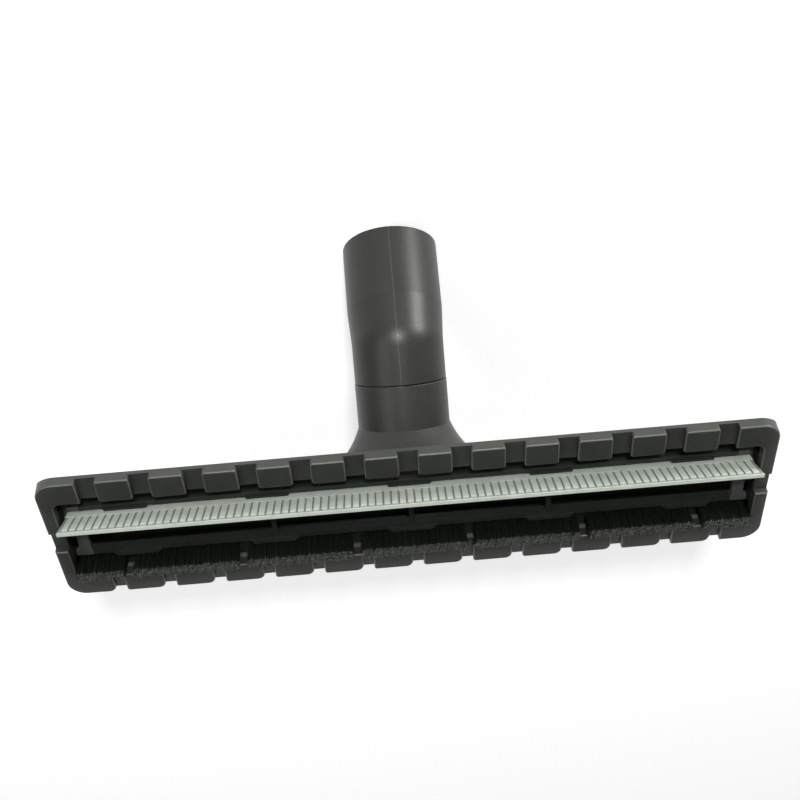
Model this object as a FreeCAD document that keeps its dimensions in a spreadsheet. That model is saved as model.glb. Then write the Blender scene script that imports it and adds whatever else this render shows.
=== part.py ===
"""Hard floor brush of a vacuum cleaner: a wide suction head with a squeegee lip, a row of
bristles and a swivelling elbow that takes the cleaner's tube.  Sizes are millimetres.

The pieces are drawn in the head's own frame: x across the head from its middle, y from the
rear pads' back edge to the front, z up from the pads' faces.  A placement then moves each of
them into the part's frame, whose floor lies at the level of the lip's and bristles' ends.
"""
import FreeCAD
import Part
import Sketcher
import math
import os

Vector = FreeCAD.Vector
Rotation = FreeCAD.Rotation
Placement = FreeCAD.Placement

document = FreeCAD.newDocument("floor_brush")

# Driving dimensions, each with the name that every feature reads it by.
DIMENSIONS = {
    "head_width": 300.0,
    "head_depth": 70.8,
    "corner_radius": 8.0,
    "inner_radius": 3.5,
    "band_height": 4.7,
    "side_wall": 5.6,
    "front_wall": 4.8,
    "front_pad_depth": 11.0,
    "rear_pad_depth": 12.1,
    "corner_pad_length": 17.25,
    "pad_count": 12,
    "notch_width": 7.5,
    "notch_depth": 3.0,
    "pad_corner": 1.2,
    "pad_edge": 0.9,
    "side_notch_length": 11.5,
    "side_notch_offset": 0.35,
    "strip_drop": 3.6,
    "strip_lean": 8.0,
    "shell_wall": 2.2,
    "shell_overlap": 1.0,
    "crown_height": 30.0,
    "end_height": 20.0,
    "front_height": 14.5,
    "front_run": 3.0,
    "front_ease": 4.0,
    "collar_lean": 53.5,
    "seam_back": 3.0,
    "seam_height": 40.6,
    "collar_radius": 19.15,
    "collar_bore": 16.4,
    "collar_length": 46.0,
    "shoulder_depth": 12.0,
    "relief_bore": 17.2,
    "skirt_radius": 29.5,
    "skirt_start": 18.5,
    "skirt_end": 32.0,
    "bend_angle": 29.5,
    "bend_height": 16.7,
    "elbow_radius": 19.0,
    "duct_radius": 15.6,
    "socket_bore": 17.5,
    "socket_wall": 2.35,
    "socket_length": 30.1,
    "flare_length": 12.9,
    "spigot_length": 17.0,
    "spigot_wall": 1.8,
    "spigot_clearance": 0.05,
    "rim_edge": 0.6,
    "seam_line": 0.3,
    "ring_width": 1.8,
    "groove_depth": 0.85,
    "ring_clearance": 0.05,
    "ring_gap": 5.0,
    "carrier_height": 8.0,
    "rail_height": 2.6,
    "rear_slot_depth": 9.9,
    "rear_rail_width": 3.0,
    "front_rail_inset": 14.6,
    "front_rail_width": 2.5,
    "bar_width": 2.1,
    "outer_window": 78.7,
    "end_plate_width": 7.0,
    "end_plate_gap": 2.1,
    "carrier_clearance": 0.2,
    "tab_width": 22.0,
    "tab_margin": 26.2,
    "rear_tab_drop": 3.8,
    "front_tab_drop": 2.0,
    "tab_thickness": 1.1,
    "tab_slope": 2.4,
    "lug_offset": 2.45,
    "lug_length": 12.0,
    "lug_reach": 1.6,
    "lug_height": 2.2,
    "lug_clearance": 0.1,
    "upstand_height": 7.3,
    "upstand_thickness": 2.3,
    "front_upstand_inset": 10.0,
    "rear_upstand_start": 8.6,
    "rear_upstand_height": 1.3,
    "plate_reach": 4.6,
    "plate_thickness": 2.4,
    "lip_setback": 1.7,
    "lip_thickness": 1.9,
    "lip_neck": 2.4,
    "lip_side_gap": 2.5,
    "lip_flare": 3.4,
    "lip_clearance": 0.05,
    "foot_width": 4.4,
    "foot_thickness": 1.0,
    "foot_roof": 0.7,
    "rib_count": 89,
    "rib_margin": 1.8,
    "rib_width": 2.35,
    "rib_depth": 0.5,
    "rib_end_depth": 0.1,
    "rib_end_length": 0.9,
    "rib_fan": 1.015,
    "rib_top": 9.0,
    "root_depth": 0.75,
    "edge_strip": 0.8,
    "hook_count": 6,
    "hook_width": 5.0,
    "hook_reach": 3.0,
    "hook_height": 9.0,
    "hook_thickness": 1.6,
    "bristle_inset": 11.5,
    "bristle_depth": 5.1,
    "bristle_gap": 4.5,
    "bristle_side_gap": 0.9,
    "end_stretch": 19.75,
    "tuft_pitch": 4.9,
    "tuft_bulge": 0.35,
    "brush_back_seat": 0.4,
    "brush_back_inset": 1.4,
    "brush_back_thickness": 1.6,
    "brush_back_clearance": 0.05,
    "brush_back_groove": 0.6,
    "brush_back_groove_width": 1.2,
    "overcut": 1.0,
}

# The shell's long section between its rear edge and its front: how far along the head's depth,
# and how far up from the seam to the crown, each point of it lies.
SHELL_PROFILE = ((0.10, 0.21), (0.28, 0.66), (0.55, 1.0), (0.80, 0.90))
SHELL_FRONT_SHARE = 0.25
SHELL_BACK_SLOPE = 0.72
SHELL_SLOPE_THICKENING = 1.2

sheet =document.addObject("Spreadsheet::Sheet", "sizes")
for row, (alias, value) in enumerate(DIMENSIONS.items(), start=1):
    sheet.set("A%d" % row, alias)
    sheet.set("B%d" % row, str(value))
    sheet.setAlias("B%d" % row, alias)
document.recompute()


def size(alias):
    """The value that the sheet holds under one name."""
    return float(sheet.get(alias))


def value(expression):
    """The value of an expression over the sheet."""
    return float(sheet.evalExpression(expression))


def bind(feature, **links):
    """Ties properties of a feature to expressions over the sheet."""
    for name, expression in links.items():
        feature.setExpression(name, str(expression))


def place(feature, base, rotation=None):
    """Puts a feature at a point given as three expressions, with a fixed rotation."""
    feature.Placement = Placement(Vector(), rotation or Rotation())
    for letter, expression in zip("xyz", base):
        feature.setExpression("Placement.Base." + letter, str(expression))


def lean(angle):
    """The rotation about x that tips an upright axis backwards by an angle in degrees."""
    return Rotation(Vector(1, 0, 0), angle)


# Sizes that several pieces share, as expressions over the sheet.
HALF_WIDTH = "sizes.head_width / 2"
OPENING_HALF = "(sizes.head_width / 2 - sizes.side_wall)"
OPENING_FRONT = "(sizes.head_depth - sizes.front_wall)"
FRONT_PAD_BACK = "(sizes.head_depth - sizes.front_pad_depth)"
SIDE_NOTCH_MIDDLE = "(sizes.head_depth / 2 + sizes.side_notch_offset)"
SIDE_NOTCH_START = "(" + SIDE_NOTCH_MIDDLE + " - sizes.side_notch_length / 2)"
SIDE_NOTCH_END = "(" + SIDE_NOTCH_MIDDLE + " + sizes.side_notch_length / 2)"
CORNER_PAD_REACH = "(sizes.head_width / 2 - sizes.corner_pad_length)"
PAD_WIDTH = (
    "((2 * " + CORNER_PAD_REACH
    + " - (sizes.pad_count + 1) * sizes.notch_width) / sizes.pad_count)"
)
PAD_PITCH = "(" + PAD_WIDTH + " + sizes.notch_width)"
FIRST_PAD = "(-(sizes.pad_count - 1) / 2 * " + PAD_PITCH + ")"

# The carrier in the opening, with what sits in it and on it.
RAIL_TOP = "(sizes.carrier_height + sizes.rail_height)"
CARRIER_HALF = "(" + OPENING_HALF + " - sizes.carrier_clearance)"
CARRIER_INNER_HALF = "(" + CARRIER_HALF + " - sizes.end_plate_width)"
END_PLATE_OUTER = "(" + CARRIER_HALF + " - sizes.end_plate_gap)"
BAR_SPACING = "(" + CARRIER_INNER_HALF + " - sizes.outer_window)"
TAB_SPACING = "((" + CARRIER_HALF + " - sizes.tab_margin) / 2)"
REAR_RAIL_START = "(sizes.rear_pad_depth + sizes.rear_slot_depth)"
REAR_RAIL_END = "(" + REAR_RAIL_START + " + sizes.rear_rail_width)"
FRONT_RAIL_START = "(" + OPENING_FRONT + " - sizes.front_rail_inset)"
FRONT_RAIL_END = "(" + FRONT_RAIL_START + " + sizes.front_rail_width)"
LUG_MIDDLE = "((" + REAR_RAIL_START + " + " + FRONT_RAIL_END + ") / 2 - sizes.lug_offset)"
LUG_START = "(" + LUG_MIDDLE + " - sizes.lug_length / 2)"
LUG_END = "(" + LUG_MIDDLE + " + sizes.lug_length / 2)"
LIP_BACK = "(" + REAR_RAIL_END + " + sizes.lip_setback)"
PLATE_FRONT = "(" + LIP_BACK + " + sizes.plate_reach)"
PLATE_BOTTOM = "(sizes.carrier_height + sizes.lip_neck)"
LIP_ROOT_HALF = "(" + OPENING_HALF + " - sizes.lip_side_gap)"
RIB_PITCH = "(2 * (" + LIP_ROOT_HALF + " - sizes.rib_margin) / (sizes.rib_count - 1))"
BRISTLE_HALF = "(" + OPENING_HALF + " - sizes.bristle_side_gap)"
BRISTLE_BACK = "(" + OPENING_FRONT + " - sizes.bristle_inset)"
HOOK_SPACING = (
    "((2 * (" + BRISTLE_HALF
    + " - sizes.end_stretch) - sizes.bristle_gap) / (sizes.hook_count - 1))"
)
SOCKET_RADIUS = "(sizes.socket_bore + sizes.socket_wall)"

# The mouth of the elbow, followed from the collar's seam past the bend.
STRAIGHT_LENGTH = "(sizes.flare_length + sizes.socket_length)"
TUBE_LEAN = "(sizes.collar_lean - sizes.bend_angle)"
MOUTH_BACK = (
    "(sizes.seam_back + sizes.bend_height * sin(sizes.collar_lean) + "
    + STRAIGHT_LENGTH + " * sin" + TUBE_LEAN + ")"
)
REAR_REACH = "(" + MOUTH_BACK + " + " + SOCKET_RADIUS + " * cos" + TUBE_LEAN + ")"

# Where the part's origin lies in the head's frame: midway between the front of the head and
# the elbow's rearmost point, on the floor that the lip and the bristles stand on.
ORIGIN_Y = "((sizes.head_depth - " + REAR_REACH + ") / 2)"


def settle(feature, label):
    """Gives a finished piece its name and moves it from the head's frame to the part's."""
    feature.Label = label
    feature.setExpression("Placement.Base.y", "-" + ORIGIN_Y)
    feature.setExpression("Placement.Base.z", "sizes.strip_drop")
    return feature


def box(name, low, high):
    """A box between two corners, each given as three expressions."""
    feature = document.addObject("Part::Box", name)
    lengths = ["(%s) - (%s)" % (end, start) for start, end in zip(low, high)]
    bind(feature, Length=lengths[0], Width=lengths[1], Height=lengths[2])
    place(feature, low)
    return feature


def fuse(name, shapes):
    """One solid made of several that touch."""
    feature = document.addObject("Part::MultiFuse", name)
    feature.Shapes = shapes
    feature.Refine = True
    return feature


def cut(name, base, tool):
    """A piece with another taken out of it."""
    feature = document.addObject("Part::Cut", name)
    feature.Base = base
    feature.Tool = tool
    feature.Refine = True
    return feature


def common(name, base, tool):
    """What two pieces share."""
    feature = document.addObject("Part::Common", name)
    feature.Base = base
    feature.Tool = tool
    return feature


def origin_feature(body, role):
    """A plane or axis of a body's own origin, found by its role."""
    return next(item for item in body.Origin.OriginFeatures if item.Role == role)


def sketch_on(body, role, name, height="0"):
    """A sketch on one of a body's planes, raised from it by an expression."""
    sketch = body.newObject("Sketcher::SketchObject", name)
    sketch.AttachmentSupport = (origin_feature(body, role), "")
    sketch.MapMode = "FlatFace"
    sketch.setExpression("AttachmentOffset.Base.z", height)
    return sketch


def outline(sketch, points):
    """A closed outline whose corners are pairs of expressions."""
    values = [tuple(float(sketch.evalExpression(part)) for part in point) for point in points]
    first = sketch.GeometryCount
    count = len(points)
    for index in range(count):
        start = Vector(*values[index], 0)
        end = Vector(*values[(index + 1) % count], 0)
        sketch.addGeometry(Part.LineSegment(start, end))
    for index in range(count):
        following = first + (index + 1) % count
        sketch.addConstraint(Sketcher.Constraint("Coincident", first + index, 2, following, 1))
    for index in range(count):
        for kind, part, value in zip(("DistanceX", "DistanceY"), points[index], values[index]):
            constraint = Sketcher.Constraint(kind, -1, 1, first + index, 1, value)
            number = sketch.addConstraint(constraint)
            sketch.setExpression("Constraints[%d]" % number, part)


def rectangle(sketch, left, right, back, front):
    """A rectangle between four expressions."""
    outline(sketch, [(left, back), (right, back), (right, front), (left, front)])


def pad(body, sketch, name, length):
    """Material raised from a sketch by an expression."""
    feature = body.newObject("PartDesign::Pad", name)
    feature.Profile = sketch
    bind(feature, Length=length)
    document.recompute()
    return feature


def round_edges(body, base, name, radius, wanted):
    """Rounds the edges of a body's feature that a test picks out."""
    names = ["Edge%d" % (index + 1) for index, edge in enumerate(base.Shape.Edges) if wanted(edge)]
    feature = body.newObject("PartDesign::Fillet", name)
    feature.Base = (base, names)
    bind(feature, Radius=radius)
    document.recompute()
    return feature


def is_upright(edge):
    """True for a straight edge along z."""
    start, end = edge.Vertexes[0].Point, edge.Vertexes[-1].Point
    return abs(start.x - end.x) + abs(start.y - end.y) < 1e-4 and abs(start.z - end.z) > 1e-4


def is_underneath(edge):
    """True for an edge that lies in the pads' faces."""
    return abs(edge.BoundBox.ZMin) < 1e-4 and abs(edge.BoundBox.ZMax) < 1e-4


def near_corner(edge, half, back, front):
    """True for an edge at one of the four corners of a rectangle about the middle plane."""
    centre = edge.BoundBox.Center
    return abs(abs(centre.x) - half) < 1e-3 and min(abs(centre.y - back), abs(centre.y - front)) < 1e-3


def pad_rows():
    """The two rows of like pads, drawn once and repeated across the head."""
    body = document.addObject("PartDesign::Body", "pad_rows_body")
    body.AllowCompound = True
    half_pad = PAD_WIDTH + " / 2"
    plan = sketch_on(body, "XY_Plane", "pad_plan")
    for back, front in (("0", "sizes.rear_pad_depth"), (FRONT_PAD_BACK, "sizes.head_depth")):
        rectangle(plan, FIRST_PAD + " - " + half_pad, FIRST_PAD + " + " + half_pad, back, front)
    pads = pad(body, plan, "first_pads", "sizes.notch_depth")
    pads = round_edges(body, pads, "pad_corners", "sizes.pad_corner", is_upright)
    round_edges(body, pads, "pad_edges", "sizes.pad_edge", is_underneath)
    row = body.newObject("PartDesign::LinearPattern", "pad_rows")
    row.TransformMode = "Whole shape"
    row.Direction = (origin_feature(body, "X_Axis"), "")
    row.Mode = "Spacing"
    bind(row, Offset=PAD_PITCH, Occurrences="sizes.pad_count")
    body.Tip = row
    return body


def frame_ring(body):
    """The band round the opening with its four corner pads, drawn in a body."""
    corners = sketch_on(body, "XY_Plane", "corner_pad_plan")
    for side in ("-", ""):
        edge, inner, reach = (side + name for name in (HALF_WIDTH, OPENING_HALF, CORNER_PAD_REACH))
        ends = (("0", "sizes.rear_pad_depth", SIDE_NOTCH_START),
                ("sizes.head_depth", FRONT_PAD_BACK, SIDE_NOTCH_END))
        for outer_y, inner_y, leg_y in ends:
            outline(corners, [(edge, outer_y), (reach, outer_y), (reach, inner_y),
                              (inner, inner_y), (inner, leg_y), (edge, leg_y)])
    pad(body, corners, "corner_pads", "sizes.notch_depth")

    deck = sketch_on(body, "XY_Plane", "deck_plan", "sizes.notch_depth")
    rectangle(deck, "-" + HALF_WIDTH, HALF_WIDTH, "0", "sizes.head_depth")
    rectangle(deck, "-" + OPENING_HALF, OPENING_HALF, "sizes.rear_pad_depth", FRONT_PAD_BACK)
    ring = pad(body, deck, "deck", "sizes.band_height - sizes.notch_depth")

    half, depth = size("head_width") / 2, size("head_depth")
    inner_half = half - size("side_wall")
    inner_back, inner_front = size("rear_pad_depth"), value(FRONT_PAD_BACK)
    ring = round_edges(body, ring, "outer_corners", "sizes.corner_radius",
                       lambda edge: is_upright(edge) and near_corner(edge, half, 0, depth))
    ring = round_edges(body, ring, "inner_corners", "sizes.inner_radius",
                       lambda edge: is_upright(edge) and near_corner(edge, inner_half, inner_back, inner_front))
    return round_edges(body, ring, "corner_pad_edges", "sizes.pad_edge", is_underneath)


def frame_walls(body):
    """The walls that rise from the band inside the housing."""
    walls = sketch_on(body, "XY_Plane", "wall_plan", "sizes.band_height")
    wall_front = OPENING_FRONT + " + sizes.upstand_thickness"
    wall_half = "(" + HALF_WIDTH + " - sizes.front_upstand_inset)"
    rectangle(walls, "-" + wall_half, wall_half, OPENING_FRONT, wall_front)
    for side in ("-", ""):
        wall_outer = side + "(" + OPENING_HALF + " + sizes.upstand_thickness)"
        rectangle(walls, side + OPENING_HALF, wall_outer, REAR_RAIL_START, FRONT_RAIL_END)
    pad(body, walls, "front_and_side_walls", "sizes.upstand_height")
    rear = sketch_on(body, "XY_Plane", "rear_wall_plan", "sizes.band_height")
    rectangle(rear, "-" + CARRIER_HALF, CARRIER_HALF, "sizes.rear_upstand_start",
              "sizes.rear_upstand_start + sizes.upstand_thickness")
    pad(body, rear, "rear_wall", "sizes.rear_upstand_height")


def frame_hooks(body):
    """The hooks on the front wall that carry the brush between its stretches of bristles."""
    plan = sketch_on(body, "XY_Plane", "hook_plan", "sizes.hook_height")
    for number in range(int(size("hook_count"))):
        middle = ("(%d - (sizes.hook_count - 1) / 2) * " % number) + HOOK_SPACING
        rectangle(plan, middle + " - sizes.hook_width / 2", middle + " + sizes.hook_width / 2",
                  OPENING_FRONT + " - sizes.hook_reach", OPENING_FRONT)
    pad(body, plan, "hooks", "sizes.hook_thickness")


def lug_slots(body):
    """The slots in the side walls that the carrier's lugs sit in."""
    plan = sketch_on(body, "XY_Plane", "lug_slot_plan", "sizes.carrier_height")
    for side in ("-", ""):
        slot_outer = side + "(" + OPENING_HALF + " + sizes.upstand_thickness + sizes.overcut)"
        rectangle(plan, side + "(" + OPENING_HALF + " - sizes.overcut)", slot_outer,
                  LUG_START + " - sizes.lug_clearance", LUG_END + " + sizes.lug_clearance")
    pocket = body.newObject("PartDesign::Pocket", "lug_slots")
    pocket.Profile = plan
    pocket.Reversed = True
    bind(pocket, Length="sizes.lug_height + sizes.lug_clearance")


def base_frame():
    """The lower frame: the band with its pads, the inner walls and the hooks."""
    body = document.addObject("PartDesign::Body", "frame_body")
    frame_ring(body)
    frame_walls(body)
    frame_hooks(body)
    lug_slots(body)
    document.recompute()
    return settle(fuse("base_frame", [body, pad_rows()]), "base_frame")


def crown(x):
    """The housing's height above the pads at a distance from the middle plane."""
    share = 1 - (x / (size("head_width") / 2)) ** 2
    return size("end_height") + (size("crown_height") - size("end_height")) * share


def housing_section(x, inset):
    """A closed cross-section of the housing at x, moved inwards by a wall thickness."""
    depth, seam, front_top = size("head_depth"), size("band_height"), size("front_height")
    rise = crown(x) - seam
    drop = inset * SHELL_SLOPE_THICKENING
    below_seam = size("shell_overlap") if inset else 0
    bottom = seam - below_seam
    shoulder = front_top + SHELL_FRONT_SHARE * (rise - size("front_ease"))
    insets = ((inset / 3, drop / 2), (0, drop), (0, inset), (0, inset))
    points = [((drop - below_seam) / SHELL_BACK_SLOPE, bottom)]
    for (along, up), (forwards, down) in zip(SHELL_PROFILE, insets):
        points.append((along * depth + forwards, seam + up * rise - down))
    points.append((depth - size("front_run") - inset, shoulder - inset))
    points.append((depth - inset, front_top - inset))
    curve = Part.BSplineCurve()
    curve.interpolate(Points=[Vector(x, y, z) for y, z in points],
                      Parameters=[float(number) for number in range(len(points))])
    front = Vector(x, depth - inset, bottom)
    return Part.Wire([curve.toShape(), Part.makeLine(curve.EndPoint, front),
                      Part.makeLine(front, curve.StartPoint)])


def housing_block(name, inset):
    """The housing's outer form, or with an inset its hollow, lofted across the head."""
    half = size("head_width") / 2 - inset
    sections = [housing_section(x, inset) for x in (-half, 0, half)]
    feature = document.addObject("Part::Feature", name)
    feature.Shape = Part.makeLoft(sections, True, False)
    return feature


def collar_tube(name, radius, start, end):
    """A cylinder on the collar's axis between two depths below the seam."""
    feature = document.addObject("Part::Cylinder", name)
    bind(feature, Radius=radius, Height="(%s) - (%s)" % (end, start))
    place(feature, collar_point(end), lean(size("collar_lean")))
    feature.setExpression("Placement.Rotation.Angle", "sizes.collar_lean")
    return feature


def collar_point(depth, across="0"):
    """A point on the collar's axis at a depth below the seam, or moved across the axis."""
    back = "sizes.seam_back - (%s) * sin(sizes.collar_lean) - (%s) * cos(sizes.collar_lean)"
    height = "sizes.seam_height - (%s) * cos(sizes.collar_lean) + (%s) * sin(sizes.collar_lean)"
    return ("0", "-(" + back % (depth, across) + ")", height % (depth, across))


def skirt(name, inset):
    """The flared foot of the collar, lofted through three rings that share their top line."""
    middle = "(sizes.skirt_start + sizes.skirt_end) / 2"
    swell = "(sizes.skirt_radius - sizes.collar_radius)"
    rings = []
    steps = (("sizes.skirt_start", "0"), (middle, swell + " / 3"), ("sizes.skirt_end", swell))
    for number, (depth, growth) in enumerate(steps):
        ring = document.addObject("Part::Circle", "%s_ring_%d" % (name, number))
        bind(ring, Radius="sizes.collar_radius + %s - %s" % (growth, inset))
        place(ring, collar_point(depth, "-" + growth), lean(size("collar_lean")))
        ring.setExpression("Placement.Rotation.Angle", "sizes.collar_lean")
        rings.append(ring)
    feature = document.addObject("Part::Loft", name)
    feature.Sections = rings
    feature.Solid = True
    return feature


def rounded_rims(name, tube, centre):
    """A tube with those of its circles rounded that lie about one point."""
    document.recompute()
    feature = document.addObject("Part::Fillet", name)
    feature.Base = tube
    rims = [index + 1 for index, edge in enumerate(tube.Shape.Edges)
            if isinstance(edge.Curve, Part.Circle) and (edge.Curve.Center - centre).Length < 0.01]
    feature.Edges = [(index, size("rim_edge"), size("rim_edge")) for index in rims]
    return feature


def rounded_block(name, low, high, radius):
    """A box with its four upright edges rounded."""
    block = box(name + "_box", low, high)
    document.recompute()
    feature = document.addObject("Part::Fillet", name)
    feature.Base = block
    upright = [index + 1 for index, edge in enumerate(block.Shape.Edges) if is_upright(edge)]
    feature.Edges = [(index, radius, radius) for index in upright]
    return feature


def housing():
    """The upper shell with the collar that the elbow turns in."""
    envelope = rounded_block("housing_envelope", ("-" + HALF_WIDTH, "0", "sizes.band_height"),
                             (HALF_WIDTH, "sizes.head_depth", "2 * sizes.crown_height"),
                             size("corner_radius"))
    below = box("below_the_seam", ("-" + HALF_WIDTH, "-sizes.head_depth", "-sizes.head_depth"),
                (HALF_WIDTH, "2 * sizes.head_depth", "sizes.band_height"))
    collar = rounded_rims("rounded_collar",
                          collar_tube("collar", "sizes.collar_radius", "0", "sizes.collar_length"),
                          Vector(0, -size("seam_back"), size("seam_height")))
    outside = fuse("housing_outside", [
        common("housing_body", housing_block("housing_block", 0), envelope),
        cut("skirt_above_seam", skirt("skirt", "0"), below),
        cut("collar_above_seam", collar, below),
    ])
    hollow_envelope = rounded_block(
        "hollow_envelope",
        ("-(" + HALF_WIDTH + " - sizes.shell_wall)", "0", "0"),
        (HALF_WIDTH + " - sizes.shell_wall", "sizes.head_depth", "2 * sizes.crown_height"),
        size("corner_radius") - size("shell_wall"))
    rooms = [
        common("housing_hollow", housing_block("housing_hollow_block", size("shell_wall")),
               hollow_envelope),
        collar_tube("collar_hole", "sizes.collar_bore", "-sizes.overcut", "sizes.shoulder_depth"),
        collar_tube("collar_relief", "sizes.relief_bore", "sizes.shoulder_depth",
                    "sizes.collar_length + 2 * sizes.overcut"),
        skirt("skirt_inside", "sizes.shell_wall"),
    ]
    shell = outside
    for number, room in enumerate(rooms):
        shell = cut("housing_less_room_%d" % number, shell, room)
    return settle(shell, "housing")


def tube_after_bend(name, radius, start, end, end_radius=None):
    """A cylinder or cone on the elbow's upper axis, between two distances from the bend."""
    kind = "Part::Cone" if end_radius else "Part::Cylinder"
    feature = document.addObject(kind, name)
    if end_radius:
        bind(feature, Radius1=radius, Radius2=end_radius)
    else:
        bind(feature, Radius=radius)
    bind(feature, Height="(%s) - (%s)" % (end, start))
    base = ("0", "(%s) * sin(sizes.bend_angle)" % start,
            "sizes.bend_height + (%s) * cos(sizes.bend_angle)" % start)
    place(feature, base, lean(-size("bend_angle")))
    feature.setExpression("Placement.Rotation.Angle", "-sizes.bend_angle")
    return feature


def tube_before_bend(name, radius, start, end):
    """A cylinder on the elbow's lower axis, between two distances above the seam."""
    feature = document.addObject("Part::Cylinder", name)
    bind(feature, Radius=radius, Height="(%s) - (%s)" % (end, start))
    place(feature, ("0", "0", start))
    return feature


def bend_ball(name, radius):
    """The ball that joins the elbow's two axes in the bend."""
    feature = document.addObject("Part::Sphere", name)
    bind(feature, Radius=radius)
    place(feature, ("0", "0", "sizes.bend_height"))
    return feature


def seat_on_collar(feature, label):
    """Moves a piece drawn on an upright collar axis, seam at zero, onto the leaning collar."""
    feature.Label = label
    feature.Placement = Placement(Vector(), lean(size("collar_lean")))
    feature.setExpression("Placement.Rotation.Angle", "sizes.collar_lean")
    feature.setExpression("Placement.Base.y", "-sizes.seam_back - " + ORIGIN_Y)
    feature.setExpression("Placement.Base.z", "sizes.seam_height + sizes.strip_drop")
    return feature


def swivel_elbow():
    """The elbow: a spigot that turns in the collar, a bend and a socket for the tube."""
    spigot_radius = "(sizes.collar_bore - sizes.spigot_clearance)"
    outer = fuse("elbow_outside", [
        tube_before_bend("spigot", spigot_radius, "-sizes.spigot_length", "sizes.bend_height"),
        tube_before_bend("elbow_foot", "sizes.elbow_radius", "sizes.seam_line", "sizes.bend_height"),
        bend_ball("elbow_bend", "sizes.elbow_radius"),
        tube_after_bend("elbow_flare", "sizes.elbow_radius", "0", "sizes.flare_length", SOCKET_RADIUS),
        tube_after_bend("socket", SOCKET_RADIUS, "sizes.flare_length", STRAIGHT_LENGTH),
    ])
    spigot_bore = spigot_radius + " - sizes.spigot_wall"
    inner = fuse("elbow_inside", [
        tube_before_bend("spigot_hole", spigot_bore, "-sizes.spigot_length - sizes.overcut",
                         "sizes.bend_height"),
        bend_ball("bend_hole", spigot_bore),
        tube_after_bend("flare_hole", spigot_bore, "0", "sizes.flare_length", "sizes.duct_radius"),
        tube_after_bend("socket_hole", "sizes.socket_bore", "sizes.flare_length",
                        STRAIGHT_LENGTH + " + sizes.overcut"),
    ])
    open_tube = cut("elbow_tube", outer, inner)
    groove_start = "-sizes.shoulder_depth - sizes.ring_width - 2 * sizes.ring_clearance"
    groove = cut("ring_groove",
                 tube_before_bend("groove_outside", "sizes.collar_radius", groove_start,
                                  "-sizes.shoulder_depth"),
                 tube_before_bend("groove_floor", spigot_radius + " - sizes.groove_depth",
                                  groove_start, "-sizes.shoulder_depth"))
    grooved = cut("grooved_elbow", open_tube, groove)
    bend, straight = math.radians(size("bend_angle")), value(STRAIGHT_LENGTH)
    mouth = Vector(0, straight * math.sin(bend), size("bend_height") + straight * math.cos(bend))
    return seat_on_collar(rounded_rims("swivel_elbow", grooved, mouth), "swivel_elbow")


def lock_ring():
    """The split ring in the spigot's groove that holds the elbow in the collar."""
    floor_radius = "(sizes.collar_bore - sizes.spigot_clearance - sizes.groove_depth)"
    top = "-sizes.shoulder_depth - sizes.ring_clearance"
    bottom = top + " - sizes.ring_width"
    ring = cut("whole_ring",
               tube_before_bend("ring_outside", "sizes.relief_bore - 2 * sizes.ring_clearance", bottom, top),
               tube_before_bend("ring_hole", floor_radius + " + sizes.ring_clearance",
                                bottom + " - sizes.overcut", top + " + sizes.overcut"))
    gap = box("ring_gap", ("-sizes.ring_gap / 2", "0", bottom + " - sizes.overcut"),
              ("sizes.ring_gap / 2", "sizes.collar_radius", top + " + sizes.overcut"))
    return seat_on_collar(cut("lock_ring", ring, gap), "lock_ring")


def pair_of_boxes(name, near, far, rest_low, rest_high):
    """Two like boxes left and right of the middle plane, between two distances from it."""
    return [
        box(name + "_left", ("-" + far,) + rest_low, ("-" + near,) + rest_high),
        box(name + "_right", (near,) + rest_low, (far,) + rest_high),
    ]


def strip_carrier():
    """The ladder between the walls that holds the lip and carries the brush's back edge."""
    low, top = "sizes.carrier_height", RAIL_TOP
    lug_half = "(" + CARRIER_HALF + " + sizes.lug_reach)"
    plate_top = "(" + PLATE_BOTTOM + " + sizes.plate_thickness)"
    bar_back = "(" + PLATE_FRONT + " - sizes.bar_width)"
    ladder = [
        box("lip_plate", ("-" + CARRIER_HALF, REAR_RAIL_START, PLATE_BOTTOM),
            (CARRIER_HALF, PLATE_FRONT, plate_top)),
        box("front_rail", ("-" + CARRIER_HALF, FRONT_RAIL_START, low),
            (CARRIER_HALF, FRONT_RAIL_END, top)),
    ]
    ladder += pair_of_boxes("end_plate", CARRIER_INNER_HALF, END_PLATE_OUTER,
                            (bar_back, low), (FRONT_RAIL_END, top))
    ladder += pair_of_boxes("lug", END_PLATE_OUTER, lug_half,
                            (LUG_START, low), (LUG_END, low + " + sizes.lug_height"))
    for number in (-1, 0, 1):
        middle = "(%d) * %s" % (number, BAR_SPACING)
        ladder.append(box("bar_%d" % (number + 1),
                          (middle + " - sizes.bar_width / 2", bar_back, low),
                          (middle + " + sizes.bar_width / 2", FRONT_RAIL_END, top)))
    rails = (("rear", REAR_RAIL_END, PLATE_BOTTOM), ("front", FRONT_RAIL_END, low))
    for rail, front, height in rails:
        for number in range(-2, 3):
            ladder.append(rail_tab(rail, number, front, height))
    return settle(cut("strip_carrier", fuse("ladder", ladder), lip_groove()), "strip_carrier")


def rail_tab(rail, number, front, height):
    """A shallow tab that hangs from a rail's front edge, narrower at its foot."""
    feature = document.addObject("Part::Wedge", "%s_tab_%d" % (rail, number + 2))
    bind(feature, Xmin="-sizes.tab_width / 2", Xmax="sizes.tab_width / 2",
         X2min="-sizes.tab_width / 2 + sizes.tab_slope", X2max="sizes.tab_width / 2 - sizes.tab_slope",
         Ymin="0", Ymax="sizes.%s_tab_drop" % rail, Zmin="0", Zmax="sizes.tab_thickness",
         Z2min="0", Z2max="sizes.tab_thickness")
    place(feature, ("%d * %s" % (number, TAB_SPACING), front + " - sizes.tab_thickness", height),
          Rotation(Vector(1, 0, 0), -90))
    return feature


def lip_y(z):
    """Where the lip's rear face lies at a height above the pads."""
    slope = math.tan(math.radians(size("strip_lean")))
    return value(LIP_BACK) + (z - size("carrier_height")) * slope


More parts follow.
